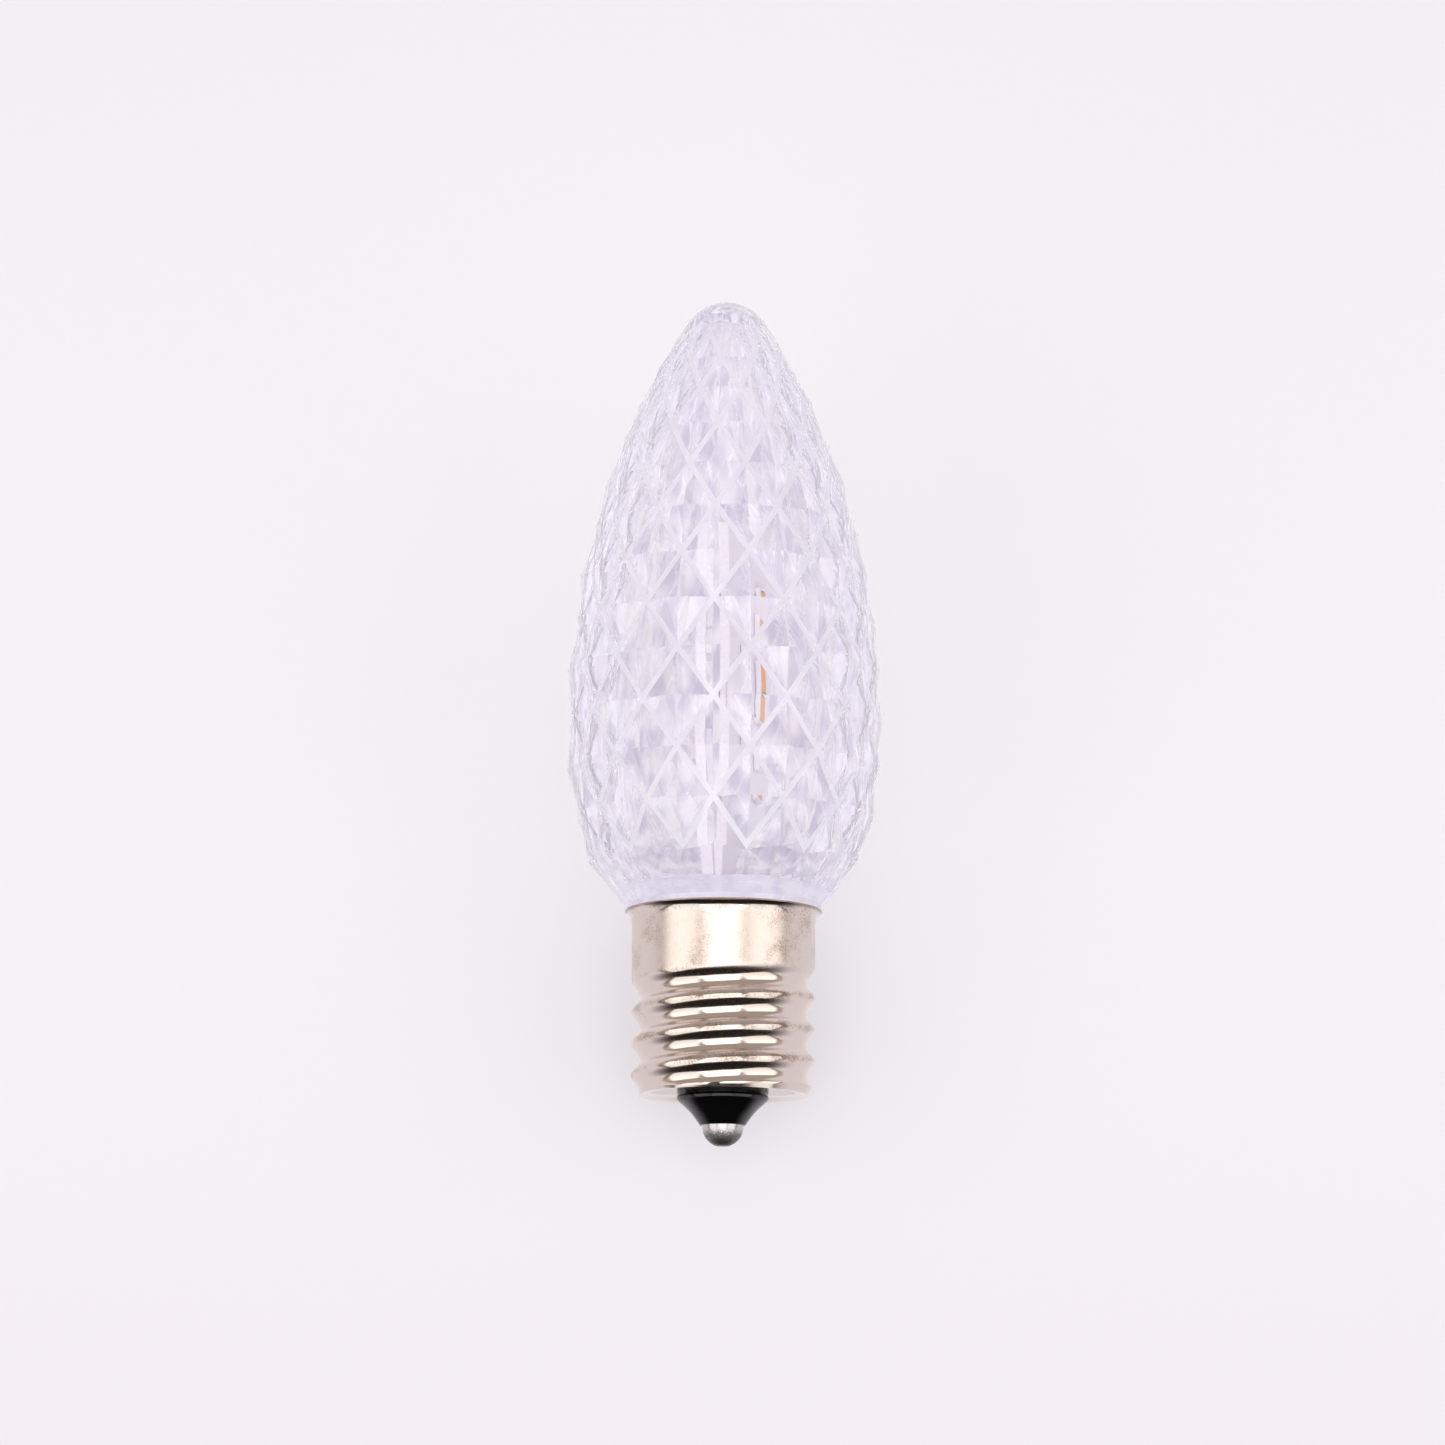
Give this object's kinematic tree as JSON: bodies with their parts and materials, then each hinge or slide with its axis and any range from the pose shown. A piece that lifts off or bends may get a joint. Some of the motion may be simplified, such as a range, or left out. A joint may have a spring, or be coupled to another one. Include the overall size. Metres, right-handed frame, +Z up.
{
  "type": "christmas light bulb",
  "caption": "Retrofit string-light bulb: a clear diamond-cut plastic lens over an LED board, on a nickel screw base with a black insulator and a solder contact.",
  "frame": {"origin": "middle of the small flat at the lower end of the solder contact, on the bulb's axis", "axes": "+Z runs up the axis from the contact to the tip of the lens, -Y is the front as seen in the picture and +X is to its right"},
  "size_m": [0.0286, 0.0285, 0.0775],
  "materials": {
    "clear_plastic": "clear moulded polycarbonate, polished facets with rounded grooves",
    "nickel_shell": "nickel plate on pressed sheet, bright with fine brush lines and brown specks",
    "black_insulator": "moulded black phenolic, glossy with faint scratches",
    "solder": "tin solder, bright where it froze smooth and grey where it is worn",
    "brass": "drawn brass",
    "white_board": "white solder mask on glass-fibre board",
    "led_tray": "white moulded tray",
    "phosphor": "amber phosphor in silicone",
    "chip_black": "black epoxy with tinned ends",
    "tinned_copper": "tinned copper wire"
  },
  "bodies": {
    "root": {"lens": "clear_plastic", "screw_shell": "nickel_shell", "insulator": "black_insulator", "centre_contact": "solder", "contact_eyelet": "brass", "circuit_board": "white_board", "led_body_1": "led_tray", "led_body_2": "led_tray", "led_body_3": "led_tray", "led_body_4": "led_tray", "led_body_5": "led_tray", "led_phosphor_1": "phosphor", "led_phosphor_2": "phosphor", "led_phosphor_3": "phosphor", "led_phosphor_4": "phosphor", "led_phosphor_5": "phosphor", "bridge_rectifier": "chip_black", "chip_resistor_1": "chip_black", "chip_resistor_2": "chip_black", "centre_lead": "tinned_copper", "shell_lead": "tinned_copper", "centre_lead_joint": "solder", "shell_lead_joint": "solder"}
  },
  "joints": []
}
